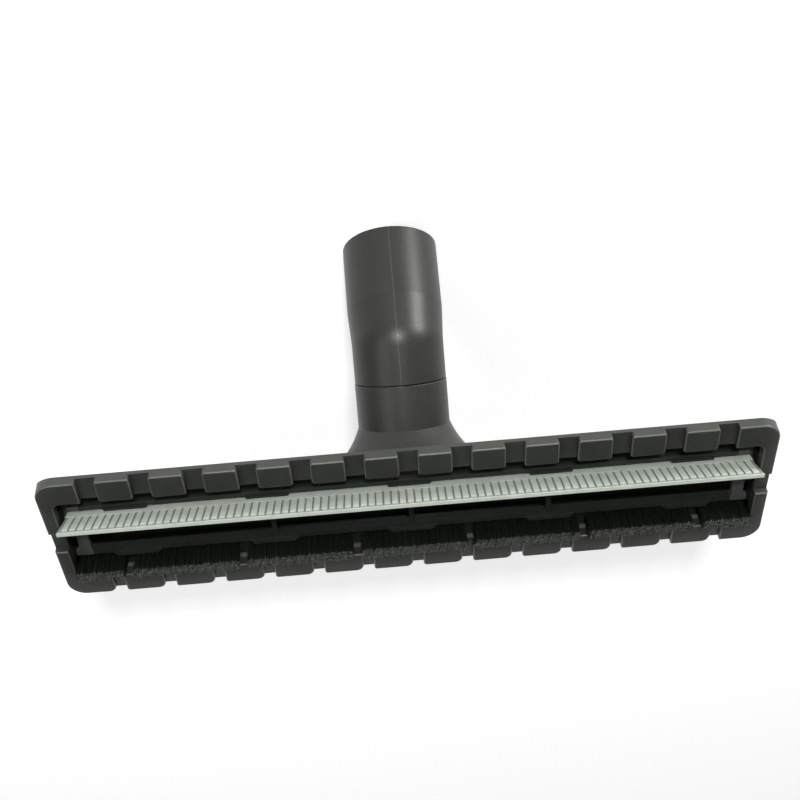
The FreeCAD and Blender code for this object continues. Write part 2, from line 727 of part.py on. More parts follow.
def leaning_slab(half_low, half_high, low, high, back, front):
    """A slab along x that follows the lip's lean, between two heights and two offsets."""
    rings = []
    for half, z in ((half_low, low), (half_high, high)):
        y = lip_y(z)
        corners = [(-half, y + back), (half, y + back), (half, y + front), (-half, y + front)]
        rings.append(Part.makePolygon([Vector(px, py, z) for px, py in corners + corners[:1]]))
    return Part.makeLoft(rings, True, True)


def lip_half(z):
    """Half of the lip's length at a height, as its ends flare towards the floor."""
    edge = -size("strip_drop")
    share = (size("carrier_height") - z) / (size("carrier_height") - edge)
    return value(LIP_ROOT_HALF) + size("lip_flare") * max(share, 0)


def foot_levels():
    """Heights of the lip's foot in the carrier: its seat and its top."""
    foot_top = value(PLATE_BOTTOM) + size("plate_thickness") - size("foot_roof")
    return foot_top - size("foot_thickness"), foot_top


def lip_groove():
    """The groove in the carrier that the lip's root and foot are pressed into."""
    seat, foot_top = foot_levels()
    gap = size("lip_clearance")
    thick = size("lip_thickness")
    spread = (size("foot_width") - thick) / 2
    half = value(LIP_ROOT_HALF) + gap
    feature = document.addObject("Part::Feature", "lip_groove")
    groove_low = size("carrier_height") - size("overcut")
    web = leaning_slab(half, half, groove_low, seat, -gap, thick + gap)
    foot = leaning_slab(half, half, seat, foot_top + gap, -spread - gap, thick + spread + gap)
    feature.Shape = web.fuse(foot)
    return feature


def squeegee_lip():
    """The rubber lip: a leaning strip with a foot in the carrier and ribs on its rear face."""
    seat, foot_top = foot_levels()
    edge, root = -size("strip_drop"), size("carrier_height")
    thick = size("lip_thickness")
    rib_top, rib_end = edge + size("rib_top"), edge + size("edge_strip")
    spread = (size("foot_width") - thick) / 2
    half = value(LIP_ROOT_HALF)
    web = leaning_slab(lip_half(edge), half, edge, root, 0, thick)
    neck = leaning_slab(half, half, root, seat, 0, thick)
    foot = leaning_slab(half, half, seat + size("lip_clearance"), foot_top, -spread, thick + spread)
    neck_top = leaning_slab(half, half, seat, seat + size("lip_clearance"), 0, thick)
    root_top = value(PLATE_BOTTOM) - size("lip_clearance")
    root_band = leaning_slab(lip_half(rib_top), half, rib_top, root_top, -size("root_depth"), thick)
    feature = document.addObject("Part::Feature", "squeegee_lip")
    feature.Shape = web.multiFuse([neck, neck_top, foot, root_band, lip_ribs(rib_end, rib_top)])
    feature.Shape = feature.Shape.removeSplitter()
    return settle(feature, "squeegee_lip")


def lip_ribs(low, top):
    """The ribs on the lip's rear face, one comb that spreads and runs out towards the floor."""
    count, pitch, width = int(size("rib_count")), value(RIB_PITCH), size("rib_width")
    thick, depth, run_out = size("lip_thickness"), size("rib_depth"), low + size("rib_end_length")
    rings = []
    for z, height in ((low, size("rib_end_depth")), (run_out, depth), (top, depth)):
        fan = 1 + (size("rib_fan") - 1) * (top - z) / (top - low)
        y = lip_y(z)
        points = [Vector(-(count / 2) * pitch * fan, y + thick / 2, z)]
        for number in range(count):
            middle = (number - (count - 1) / 2) * pitch
            left, right = (middle - width / 2) * fan, (middle + width / 2) * fan
            points += [Vector(left, y, z), Vector(left, y - height, z),
                       Vector(right, y - height, z), Vector(right, y, z)]
        points.append(Vector((count / 2) * pitch * fan, y + thick / 2, z))
        rings.append(Part.makePolygon(points + points[:1]))
    return Part.makeLoft(rings, True, True)


def brush_segments():
    """The stretches of bristles between the hooks, as pairs of ends from left to right."""
    spacing, gap, half = value(HOOK_SPACING), size("bristle_gap"), value(BRISTLE_HALF)
    count = int(size("hook_count"))
    hooks = [(number - (count - 1) / 2) * spacing for number in range(count)]
    starts = [-half] + [x + gap / 2 for x in hooks]
    ends = [x - gap / 2 for x in hooks] + [half]
    return list(zip(starts, ends))


def bristles(number, start, end):
    """One stretch of bristles, its two long faces rounded tuft by tuft."""
    top = value(RAIL_TOP) + size("brush_back_clearance")
    edge = -size("strip_drop")
    slope = math.tan(math.radians(size("strip_lean")))
    back = value(BRISTLE_BACK) + (top - size("carrier_height")) * slope
    front = back + size("bristle_depth")
    count = round((end - start) / size("tuft_pitch"))
    width = (end - start) / count
    bulge = size("tuft_bulge")
    edges = []
    for tuft in range(count):
        left, right = start + tuft * width, start + (tuft + 1) * width
        for y, sign, ends in ((back, -1, (left, right)), (front, 1, (right, left))):
            middle = Vector((left + right) / 2, y, top)
            corners = [Vector(x, y - sign * bulge, top) for x in ends]
            edges.append(Part.Arc(corners[0], middle, corners[1]).toShape())
    for x in (start, end):
        edges.append(Part.makeLine(Vector(x, back + bulge, top), Vector(x, front - bulge, top)))
    section = Part.Face(Part.Wire(Part.sortEdges(edges)[0]))
    feature = document.addObject("Part::Feature", "bristles_%d" % number)
    feature.Shape = section.extrude(Vector(0, (edge - top) * slope, edge - top))
    return settle(feature, "bristles_%d" % number)


def brush_back():
    """The strip that the bristles are set in, carried by the front rail and the hooks."""
    low = RAIL_TOP + " + sizes.brush_back_clearance"
    top = low + " + sizes.brush_back_thickness"
    strip = box("brush_back_strip",
                ("-" + BRISTLE_HALF, FRONT_RAIL_START + " + sizes.brush_back_seat", low),
                (BRISTLE_HALF, OPENING_FRONT + " - sizes.brush_back_inset", top))
    groove_half = "(" + BRISTLE_HALF + " + sizes.overcut)"
    grooves = [
        box("brush_back_groove_%d" % number,
            ("-" + groove_half, start, top + " - sizes.brush_back_groove"),
            (groove_half, start + " + sizes.brush_back_groove_width", top + " + sizes.overcut"))
        for number, start in enumerate((BRISTLE_BACK + " - sizes.brush_back_groove_width",
                                        BRISTLE_BACK + " + sizes.bristle_depth"))
    ]
    return settle(cut("brush_back", strip, fuse("brush_back_grooves", grooves)), "brush_back")


def pieces():
    """Every piece of the part, in the order in which it is put together."""
    made = [housing(), base_frame(), strip_carrier(), squeegee_lip(), brush_back()]
    for number, (start, end) in enumerate(brush_segments(), start=1):
        made.append(bristles(number, start, end))
    made += [swivel_elbow(), lock_ring()]
    return made


def export(made):
    """Checks every piece and writes it to its own file."""
    document.recompute()
    for item in document.Objects:
        if "Invalid" in item.State or "Error" in item.State:
            raise RuntimeError("%s could not be built" % item.Name)
    os.makedirs("parts", exist_ok=True)
    for piece in made:
        shape = piece.Shape
        if shape.isNull() or not shape.isValid():
            raise RuntimeError("%s is not a sound solid" % piece.Label)
        shape.exportStep("parts/%s.step" % piece.Label)
        bounds = shape.optimalBoundingBox()
        print("%-14s solids %d  volume %8.0f  x %7.1f %6.1f  y %6.1f %6.1f  z %6.1f %6.1f" % (
            piece.Label, len(shape.Solids), shape.Volume, bounds.XMin, bounds.XMax,
            bounds.YMin, bounds.YMax, bounds.ZMin, bounds.ZMax))


export(pieces())
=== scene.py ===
"""Looks of a hard floor vacuum brush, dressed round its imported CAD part.

The brush stands on its squeegee lip and bristles, and the camera looks up at its working side
from behind and below.  Lengths in the classes are millimetres; Blender's own are metres.
"""

from __future__ import annotations

import logging
import math
import random
from collections.abc import Callable, Iterable
from dataclasses import dataclass, field
from enum import Enum

import bpy
from mathutils import Euler, Matrix, Vector

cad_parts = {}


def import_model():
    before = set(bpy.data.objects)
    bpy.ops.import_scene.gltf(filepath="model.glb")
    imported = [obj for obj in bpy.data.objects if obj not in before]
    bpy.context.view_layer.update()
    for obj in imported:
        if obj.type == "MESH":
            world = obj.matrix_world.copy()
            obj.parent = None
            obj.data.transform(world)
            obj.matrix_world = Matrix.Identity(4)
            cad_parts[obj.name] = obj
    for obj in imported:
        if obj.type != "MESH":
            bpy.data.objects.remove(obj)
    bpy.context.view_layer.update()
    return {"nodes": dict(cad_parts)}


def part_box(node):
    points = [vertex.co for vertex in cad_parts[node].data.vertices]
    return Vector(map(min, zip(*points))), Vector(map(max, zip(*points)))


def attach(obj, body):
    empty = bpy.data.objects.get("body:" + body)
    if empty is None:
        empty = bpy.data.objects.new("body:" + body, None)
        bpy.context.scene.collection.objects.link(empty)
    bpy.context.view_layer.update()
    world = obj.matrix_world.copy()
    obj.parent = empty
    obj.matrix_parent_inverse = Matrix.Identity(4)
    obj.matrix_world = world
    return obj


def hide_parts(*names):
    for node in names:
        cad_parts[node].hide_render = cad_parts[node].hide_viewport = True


LOG = logging.getLogger("floor_brush")
MM = 0.001
SMOOTH_ANGLE = math.radians(35)


class Slot(Enum):
    """Names of the record's material slots for the scene's own pieces."""

    BODY = "body_plastic"
    INNER = "inner_plastic"
    FIBRE = "bristle_fibre"


def metres(values: Iterable[float]) -> Vector:
    """A point or length in millimetres as a vector in metres."""
    return Vector([value * MM for value in values])


def linear(code: str) -> tuple[float, float, float, float]:
    """Turns an sRGB colour into the linear colour that shaders work in.

    Args:
        code: Six hex digits after a hash.

    Returns:
        Red, green, blue and an alpha of one.
    """
    channels = [int(code[start:start + 2], 16) / 255 for start in (1, 3, 5)]
    red, green, blue = (
        channel / 12.92 if channel <= 0.04045 else ((channel + 0.055) / 1.055) ** 2.4
        for channel in channels
    )
    return red, green, blue, 1.0


def add_node(
    tree: bpy.types.NodeTree,
    kind: str,
    settings: dict[str | int, object] | None = None,
    links: dict[str | int, bpy.types.NodeSocket] | None = None,
) -> bpy.types.Node:
    """Adds a shader node with its settings and the sockets that feed it.

    Args:
        tree: The material's or world's nodes.
        kind: Blender's name for the kind of node.
        settings: Values by input name or number, or by the node's own property.
        links: Sockets by the name or number of the input that they feed.

    Returns:
        The new node.
    """
    node = tree.nodes.new(kind)
    for name, value in (settings or {}).items():
        if isinstance(name, int) or name in node.inputs:
            node.inputs[name].default_value = value
        else:
            setattr(node, name, value)
    for name, socket in (links or {}).items():
        tree.links.new(socket, node.inputs[name])
    return node


def new_material(name: str) -> tuple[bpy.types.Material, bpy.types.NodeTree]:
    """A material with an empty set of nodes.

    Args:
        name: What the real material is.

    Returns:
        The material and its nodes.
    """
    material = bpy.data.materials.new(name)
    material.use_nodes = True
    material.node_tree.nodes.clear()
    return material, material.node_tree


@dataclass(frozen=True)
class Zone:
    """A colour laid past a limit along one axis of a moulding: on the band, painted shade deep on
    its inner walls; on the inner pieces, a paler tone at both ends.
    """

    axis: str
    beyond_mm: float
    colour: str
    blend_mm: float = 0.3
    both_sides: bool = False

    def tone(
        self, tree: bpy.types.NodeTree, place: bpy.types.NodeSocket, colour: bpy.types.NodeSocket
    ) -> bpy.types.NodeSocket:
        """Lays the zone's colour over another.

        Args:
            tree: The material's nodes.
            place: The point on the piece.
            colour: The colour outside the zone.

        Returns:
            The colour with the zone on it.
        """
        along = add_node(tree, "ShaderNodeSeparateXYZ", None, {"Vector": place}).outputs[self.axis]
        if self.both_sides:
            distance = add_node(tree, "ShaderNodeMath", {"operation": "ABSOLUTE"}, {0: along})
            along = distance.outputs["Value"]
        share = add_node(
            tree, "ShaderNodeMapRange",
            {"From Min": self.beyond_mm * MM, "From Max": (self.beyond_mm + self.blend_mm) * MM},
            {"Value": along},
        )
        mixed = add_node(
            tree, "ShaderNodeMix", {"data_type": "RGBA", 7: linear(self.colour)},
            {0: share.outputs["Result"], 6: colour},
        )
        return mixed.outputs[2]


@dataclass(frozen=True)
class MouldedPlastic:
    """Injection-moulded ABS or polypropylene from a spark-eroded mould.

    The mould leaves an even, fine grain that breaks the highlights up, and the plastic's flow
    gives broad, faint clouds of a lighter tone.  The grain makes the surface a little smoother in
    its hollows and rougher on its tops.
    """

    name: str
    colour: str
    cloud_colour: str
    roughness: float
    specular: float
    smoother: float = 0.06
    rougher: float = 0.08
    grain_mm: float = 0.45
    grain_depth_mm: float = 0.02
    cloud_mm: float = 14.0
    parting_mm: float = 0.0
    parting_colour: str = "#3A3B34"
    # Colour of a painted highlight on rounded edges; empty for none.
    painted_edge_highlight_colour: str = ""
    zones: tuple[Zone, ...] = ()

    def build(self) -> bpy.types.Material:
        """The plastic as a material over the piece's own millimetres."""
        material, tree = new_material(self.name)
        coordinates = add_node(tree, "ShaderNodeTexCoord")
        place = coordinates.outputs["Object"]
        cloud = add_node(
            tree, "ShaderNodeTexNoise",
            {"Scale": 1000 / self.cloud_mm, "Detail": 3.0, "Roughness": 0.55}, {"Vector": place},
        )
        grain = add_node(
            tree, "ShaderNodeTexNoise",
            {"Scale": 1000 / self.grain_mm, "Detail": 2.0, "Roughness": 0.6}, {"Vector": place},
        )
        cloud_share = add_node(
            tree, "ShaderNodeMapRange", {"From Min": 0.35, "From Max": 0.7},
            {"Value": cloud.outputs["Fac"]},
        )
        grain_share = add_node(
            tree, "ShaderNodeMapRange",
            {"From Min": 0.3, "From Max": 0.75, "To Min": 0.75, "To Max": 1.2},
            {"Value": grain.outputs["Fac"]},
        )
        clouds = add_node(
            tree, "ShaderNodeMix",
            {"data_type": "RGBA", 6: linear(self.colour), 7: linear(self.cloud_colour)},
            {0: cloud_share.outputs["Result"]},
        )
        colour = clouds.outputs[2]
        for zone in self.zones:
            colour = zone.tone(tree, place, colour)
        if self.parting_mm:
            colour = self.parting_line(tree, place, colour)
        # Painted highlight on the rounds of the pads' edges, where a colour is given.
        if self.painted_edge_highlight_colour:
            colour = self.painted_edge_highlights(tree, coordinates.outputs["Normal"], colour)
        tinted = add_node(
            tree, "ShaderNodeVectorMath", {"operation": "SCALE"},
            {0: colour, "Scale": grain_share.outputs["Result"]},
        )
        roughness = add_node(
            tree, "ShaderNodeMapRange",
            {"From Min": 0.3, "From Max": 0.7,
             "To Min": self.roughness - self.smoother, "To Max": self.roughness + self.rougher},
            {"Value": grain.outputs["Fac"]},
        )
        bump = add_node(
            tree, "ShaderNodeBump", {"Strength": 0.5, "Distance": self.grain_depth_mm * MM},
            {"Height": grain.outputs["Fac"]},
        )
        shader = add_node(
            tree, "ShaderNodeBsdfPrincipled", {"Specular IOR Level": self.specular, "IOR": 1.5},
            {"Base Color": tinted.outputs["Vector"], "Roughness": roughness.outputs["Result"],
             "Normal": bump.outputs["Normal"]},
        )
        add_node(tree, "ShaderNodeOutputMaterial", None, {"Surface": shader.outputs["BSDF"]})
        return material

    def parting_line(
        self, tree: bpy.types.NodeTree, place: bpy.types.NodeSocket, colour: bpy.types.NodeSocket
    ) -> bpy.types.NodeSocket:
        """Draws the thin pale line that the two halves of the mould leave along the middle plane.

        Args:
            tree: The material's nodes.
            place: The point on the piece.
            colour: The plastic's colour.

        Returns:
            The colour with the line on it.
        """
        parts = add_node(tree, "ShaderNodeSeparateXYZ", None, {"Vector": place})
        distance = add_node(
            tree, "ShaderNodeMath", {"operation": "ABSOLUTE"}, {0: parts.outputs["X"]},
        )
        line = add_node(
            tree, "ShaderNodeMapRange",
            {"From Min": 0.3 * self.parting_mm * MM, "From Max": self.parting_mm * MM,
             "To Min": 1.0, "To Max": 0.0},
            {"Value": distance.outputs["Value"]},
        )
        mixed = add_node(
            tree, "ShaderNodeMix", {"data_type": "RGBA", 7: linear(self.parting_colour)},
            {0: line.outputs["Result"], 6: colour},
        )
        return mixed.outputs[2]

    def painted_edge_highlights(
        self, tree: bpy.types.NodeTree, normal: bpy.types.NodeSocket, colour: bpy.types.NodeSocket
    ) -> bpy.types.NodeSocket:
        """Paints a pale highlight on the rounds between the pads' faces and their sides.

        Args:
            tree: The material's nodes.
            normal: The surface's direction in the piece's own frame.
            colour: The plastic's colour.

        Returns:
            The colour with the painted highlight on the rounds.
        """
        up = add_node(tree, "ShaderNodeSeparateXYZ", None, {"Vector": normal}).outputs["Z"]
        from_side = add_node(
            tree, "ShaderNodeMapRange",
            {"interpolation_type": "SMOOTHSTEP", "From Min": -0.3, "From Max": -0.6},
            {"Value": up},
        )
        from_face = add_node(
            tree, "ShaderNodeMapRange",
            {"interpolation_type": "SMOOTHSTEP", "From Min": -0.97, "From Max": -0.85},
            {"Value": up},
        )
        share = add_node(
            tree, "ShaderNodeMath", {"operation": "MULTIPLY"},
            {0: from_side.outputs["Result"], 1: from_face.outputs["Result"]},
        )
        mixed = add_node(
            tree, "ShaderNodeMix", {"data_type": "RGBA", 7: linear(self.painted_edge_highlight_colour)},
            {0: share.outputs["Value"], 6: colour},
        )
        return mixed.outputs[2]


@dataclass(frozen=True)
class SqueegeeRubber:
    """Soft thermoplastic rubber, moulded with its ribs.

    It is matt and pale, with fine dust in its skin, a slightly paler, cleaner free edge, painted
    shade in the grooves between the ribs and a painted shade towards the root.  The face offset
    and the lean say where the floors of the grooves lie.
    """

    name: str = "squeegee rubber"
    colour: str = "#ABB2A9"
    pale_colour: str = "#B7BEB4"
    shaded_colour: str = "#9FA69D"
    # Painted shade in the floors of the grooves.
    groove_shade_colour: str = "#7C837A"
    face_offset_mm: float = 15.694
    lean: float = 8.0
    groove_mm: float = 0.38
    edge_mm: float = 0.5
    edge_blend_mm: float = 0.25
    root_mm: float = 9.2
    root_blend_mm: float = 2.5
    dust_mm: float = 0.5
    dust_depth_mm: float = 0.015
    streak_mm: float = 5.0

    def build(self) -> bpy.types.Material:
        """The rubber as a material over the lip's own millimetres."""
        material, tree = new_material(self.name)
        place = add_node(tree, "ShaderNodeTexCoord").outputs["Object"]
        height = add_node(tree, "ShaderNodeSeparateXYZ", None, {"Vector": place}).outputs["Z"]
        edge = add_node(
            tree, "ShaderNodeMapRange",
            {"From Min": self.edge_mm * MM, "From Max": (self.edge_mm + self.edge_blend_mm) * MM,
             "To Min": 1.0, "To Max": 0.0},
            {"Value": height},
        )
        root = add_node(
            tree, "ShaderNodeMapRange",
            {"From Min": self.root_mm * MM, "From Max": (self.root_mm + self.root_blend_mm) * MM},
            {"Value": height},
        )
        dust = add_node(
            tree, "ShaderNodeTexNoise", {"Scale": 1000 / self.dust_mm, "Detail": 3.0},
            {"Vector": place},
        )
        streak = add_node(
            tree, "ShaderNodeTexNoise", {"Scale": 1000 / self.streak_mm, "Detail": 4.0},
            {"Vector": place},
        )
        tone = add_node(
            tree, "ShaderNodeMapRange",
            {"From Min": 0.35, "From Max": 0.65, "To Min": 0.93, "To Max": 1.05},
            {"Value": streak.outputs["Fac"]},
        )
        skin = add_node(
            tree, "ShaderNodeMix",
            {"data_type": "RGBA", 6: linear(self.colour), 7: linear(self.pale_colour)},
            {0: edge.outputs["Result"]},
        )
        shaded = add_node(
            tree, "ShaderNodeMix", {"data_type": "RGBA", 7: linear(self.shaded_colour)},
            {0: root.outputs["Result"], 6: skin.outputs[2]},
        )
        # Painted shade on the floors of the grooves.
        grooved = add_node(
            tree, "ShaderNodeMix", {"data_type": "RGBA", 7: linear(self.groove_shade_colour)},
            {0: self.groove_shade_share(tree, place, edge.outputs["Result"]), 6: shaded.outputs[2]},
        )
        tinted = add_node(
            tree, "ShaderNodeVectorMath", {"operation": "SCALE"},
            {0: grooved.outputs[2], "Scale": tone.outputs["Result"]},
        )
        bump = add_node(
            tree, "ShaderNodeBump", {"Strength": 0.3, "Distance": self.dust_depth_mm * MM},
            {"Height": dust.outputs["Fac"]},
        )
        shader = add_node(
            tree, "ShaderNodeBsdfPrincipled",
            {"Roughness": 0.7, "Specular IOR Level": 0.35, "IOR": 1.5},
            {"Base Color": tinted.outputs["Vector"], "Normal": bump.outputs["Normal"]},
        )
        add_node(tree, "ShaderNodeOutputMaterial", None, {"Surface": shader.outputs["BSDF"]})
        return material

    def groove_shade_share(
        self, tree: bpy.types.NodeTree, place: bpy.types.NodeSocket, edge: bpy.types.NodeSocket
    ) -> bpy.types.NodeSocket:
        """Finds the floors of the grooves between the ribs, which take a painted shade.

        Args:
            tree: The material's nodes.
            place: The point on the lip.
            edge: One on the smooth free edge, which has no ribs.

        Returns:
            One in the grooves, zero on the ribs and the edge.
        """
        parts = add_node(tree, "ShaderNodeSeparateXYZ", None, {"Vector": place})
        face = add_node(
            tree, "ShaderNodeMath",
            {"operation": "MULTIPLY_ADD",
             1: math.tan(math.radians(self.lean)), 2: self.face_offset_mm * MM},
            {0: parts.outputs["Z"]},
        )
        depth = add_node(
            tree, "ShaderNodeMath", {"operation": "SUBTRACT"},
            {0: parts.outputs["Y"], 1: face.outputs["Value"]},
        )
        floor = add_node(
            tree, "ShaderNodeMapRange",
            {"From Min": -self.groove_mm * MM, "From Max": -0.3 * self.groove_mm * MM},
            {"Value": depth.outputs["Value"]},
        )
        away = add_node(tree, "ShaderNodeMath", {"operation": "SUBTRACT", 0: 1.0}, {1: edge})
        share = add_node(
            tree, "ShaderNodeMath", {"operation": "MULTIPLY"},
            {0: floor.outputs["Result"], 1: away.outputs["Value"]},
        )
        return share.outputs["Value"]


@dataclass(frozen=True)
class NylonFibre:
    """Black nylon monofilament, cut off square.

    Its sides are black with a soft sheen; the cut ends scatter light and look grey, some more
    than others.  A painted shade darkens the sides towards their roots.
    """

    name: str = "nylon bristle"
    colour: str = "#1A201B"
    # Painted shade towards the roots, deep in the brush.
    root_shade_colour: str = "#101510"
    tip_colour: str = "#868984"
    tip_mm: float = 0.9
    shade_mm: tuple[float, float] = (2.0, 12.0)
    speckle_mm: float = 0.4

    def build(self) -> bpy.types.Material:
        """The fibres as a material over the brush's own millimetres."""
        material, tree = new_material(self.name)
        place = add_node(tree, "ShaderNodeTexCoord").outputs["Object"]
        height = add_node(tree, "ShaderNodeSeparateXYZ", None, {"Vector": place}).outputs["Z"]
        tip = add_node(
            tree, "ShaderNodeMapRange",
            {"From Min": 0.1 * MM, "From Max": self.tip_mm * MM, "To Min": 1.0, "To Max": 0.0},
            {"Value": height},
        )
        depth = add_node(
            tree, "ShaderNodeMapRange",
            {"From Min": self.shade_mm[0] * MM, "From Max": self.shade_mm[1] * MM},
            {"Value": height},
        )
        speckle = add_node(
            tree, "ShaderNodeTexNoise", {"Scale": 1000 / self.speckle_mm, "Detail": 1.0},
            {"Vector": place},
        )
        spots = add_node(
            tree, "ShaderNodeMapRange", {"From Min": 0.36, "From Max": 0.66, "To Min": 0.15},
            {"Value": speckle.outputs["Fac"]},
        )
        cut = add_node(
            tree, "ShaderNodeMath", {"operation": "MULTIPLY"},
            {0: tip.outputs["Result"], 1: spots.outputs["Result"]},
        )
        # Painted shade: the sides darken from 2 mm to 12 mm above the ends, towards the roots.
        side = add_node(
            tree, "ShaderNodeMix",
            {"data_type": "RGBA", 6: linear(self.colour), 7: linear(self.root_shade_colour)},
            {0: depth.outputs["Result"]},
        )
        colour = add_node(
            tree, "ShaderNodeMix", {"data_type": "RGBA", 7: linear(self.tip_colour)},
            {0: cut.outputs["Value"], 6: side.outputs[2]},
        )
        shader = add_node(
            tree, "ShaderNodeBsdfPrincipled",
            {"Roughness": 0.45, "Specular IOR Level": 0.3, "IOR": 1.53},
            {"Base Color": colour.outputs[2]},
        )
        add_node(tree, "ShaderNodeOutputMaterial", None, {"Surface": shader.outputs["BSDF"]})
        return material


def deselect_all() -> None:
    """Clears the selection, as operators act on all that is selected."""
    for item in bpy.context.selected_objects:
        item.select_set(False)


def only(item: bpy.types.Object) -> None:
    """Makes one object the active and only selected one."""
    deselect_all()
    item.select_set(True)
    bpy.context.view_layer.objects.active = item


def copy_of(source: bpy.types.Object, name: str, place: Matrix) -> bpy.types.Object:
    """A copy with its own mesh, put in place in the mesh itself.

    Args:
        source: The piece modelled once.
        name: The copy's name.
        place: Where it goes, from where the source is.

    Returns:
        The copy, its object at the origin.
    """
    mesh = source.data.copy()
    mesh.transform(place)
    item = bpy.data.objects.new(name, mesh)
    bpy.context.scene.collection.objects.link(item)
    return item


def joined(items: list[bpy.types.Object], name: str) -> bpy.types.Object:
    """Several objects as one.

    Args:
        items: Objects at the origin.
        name: The name of the result.

    Returns:
        The first object, which holds the others' faces too.
    """
    deselect_all()
    for item in items:
        item.select_set(True)
    bpy.context.view_layer.objects.active = items[0]
    bpy.ops.object.join()
    result = bpy.context.view_layer.objects.active
    result.name = name
    result.data.name = name
    deselect_all()
    return result


@dataclass
class Brush:
    """The bristles: tufts of cut nylon fibres in two rows, in stretches between hooks.

    A few fibres are modelled, gathered into a few tufts, and the tufts are copied along each
    stretch.  The ends are cut level, as the real brush is trimmed after it is filled, and one
    fibre in four is short.  Rows and heights are shares of the stretch's depth and the root's
    height.
    """

    stretches: int = 7
    depth: float = 5.1
    rows: tuple[float, ...] = (0.27, 0.73)
    lean: float = 8.0
    tuft_pitch: float = 4.9
    tuft_half_length: float = 2.55
    tuft_half_depth: float = 1.4
    splay: float = 0.22
    fibre_radius: float = 0.15
    tip_radius: float = 0.13
    fibres_per_tuft: int = 86
    tuft_kinds: int = 5
    fibre_kinds: int = 6
    spare_length: float = 1.0
    knee_height: float = 0.45
    bent_height: float = 0.3
    bend: float = 0.55
    short_share: float = 0.25
    short_lift: tuple[float, float] = (1.2, 2.2)
    trim_height: float = 0.08
    dice: random.Random = field(default_factory=lambda: random.Random(7))

    def build(self, finish: bpy.types.Material) -> list[bpy.types.Object]:
        """Builds every stretch and lets it stand for its CAD node.

        Args:
            finish: The fibres' material.

        Returns:
            One piece for each stretch.
        """
        root_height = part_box("bristles_1")[1].z / MM
        fibres = [self.fibre(number, root_height) for number in range(self.fibre_kinds)]
        tufts = [self.tuft(number, fibres, root_height) for number in range(self.tuft_kinds)]
        pieces = [self.stretch(number, tufts, finish) for number in range(1, self.stretches + 1)]
        for item in fibres + tufts:
            bpy.data.objects.remove(item)
        return pieces

    def fibre(self, number: int, root_height: float) -> bpy.types.Object:
        """One fibre, upright on its own axis, slightly bent and thinner at its end.

        Args:
            number: Which kind of fibre this is.
            root_height: Height of the strip that the fibres are set in.

        Returns:
            A tapered prism from the root down past the trimmed level.
        """
        length = root_height + self.spare_length
        deselect_all()
        bpy.ops.mesh.primitive_cone_add(
            vertices=3, radius1=self.tip_radius * MM, radius2=self.fibre_radius * MM,
            depth=length * MM, location=(0, 0, (root_height - length / 2) * MM),
        )
        item = bpy.context.active_object
        item.name = "fibre_%d" % number
        bpy.ops.object.transform_apply(location=True, rotation=True, scale=True)
        bpy.ops.object.mode_set(mode="EDIT")
        bpy.ops.mesh.select_all(action="SELECT")
        knee = self.knee_height * root_height * MM
        bpy.ops.mesh.bisect(plane_co=(0, 0, knee), plane_no=(0, 0, 1))
        bpy.ops.object.mode_set(mode="OBJECT")
        for vertex in item.data.vertices:
            vertex.select = vertex.co.z < self.bent_height * root_height * MM
        bpy.ops.object.mode_set(mode="EDIT")
        along, across = (self.dice.uniform(-self.bend, self.bend) * MM for _ in range(2))
        bpy.ops.transform.translate(value=(along, across, 0))
        bpy.ops.object.mode_set(mode="OBJECT")
        return item

    def tuft(
        self, number: int, fibres: list[bpy.types.Object], root_height: float
    ) -> bpy.types.Object:
        """A tuft of fibres that spread from the upright axis towards their ends.

        Args:
            number: Which kind of tuft this is.
            fibres: The kinds of fibre.
            root_height: Height of the strip that the fibres are set in.

        Returns:
            The fibres joined into one.
        """
        spread = 1 + self.splay
        copies = []
        for index in range(self.fibres_per_tuft):
            angle = self.dice.uniform(0, 2 * math.pi)
            reach = math.sqrt(self.dice.random())
            along = reach * math.cos(angle) * self.tuft_half_length
            across = reach * math.sin(angle) * self.tuft_half_depth
            turn = Matrix.Rotation(self.dice.uniform(0, 2 * math.pi), 4, "Z")
            shift = Matrix.Translation(metres((along * spread, across * spread, self.lift())))
            shift[0][2] = -along * self.splay / root_height
            shift[1][2] = -across * self.splay / root_height
            fibre = self.dice.choice(fibres)
            copies.append(copy_of(fibre, "fibre_copy_%d" % index, shift @ turn))
        return joined(copies, "tuft_%d" % number)

    def lift(self) -> float:
        """How far a fibre's end stands above the longest ones."""
        return self.dice.uniform(*self.short_lift) if self.dice.random() < self.short_share else 0.0

    def stretch(
        self, number: int, tufts: list[bpy.types.Object], finish: bpy.types.Material
    ) -> bpy.types.Object:
        """One stretch of bristles in the place of its CAD node.

        Args:
            number: Number of the stretch, from left to right.
            tufts: The kinds of tuft.
            finish: The fibres' material.

        Returns:
            The stretch as one piece.
        """
        node = "bristles_%d" % number
        low, high = (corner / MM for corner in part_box(node))
        count = round((high.x - low.x) / self.tuft_pitch)
        pitch = (high.x - low.x) / count
        lean = math.tan(math.radians(self.lean))
        slope = Matrix.Identity(4)
        slope[1][2] = lean
        copies = []
        for row in self.rows:
            across = high.y - self.depth * row - lean * high.z
            for index in range(count):
                along = low.x + (index + 0.5) * pitch
                flip = Matrix.Rotation(math.pi * self.dice.randint(0, 1), 4, "Z")
                place = Matrix.Translation(metres((along, across, 0))) @ slope @ flip
                copies.append(copy_of(self.dice.choice(tufts), "tuft_copy", place))
        item = joined(copies, "bristle_stretch_%d" % number)
        self.trim(item, high.z)
        item.data.materials.clear()
        item.data.materials.append(finish)
        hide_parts(node)
        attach(item, "head")
        return item

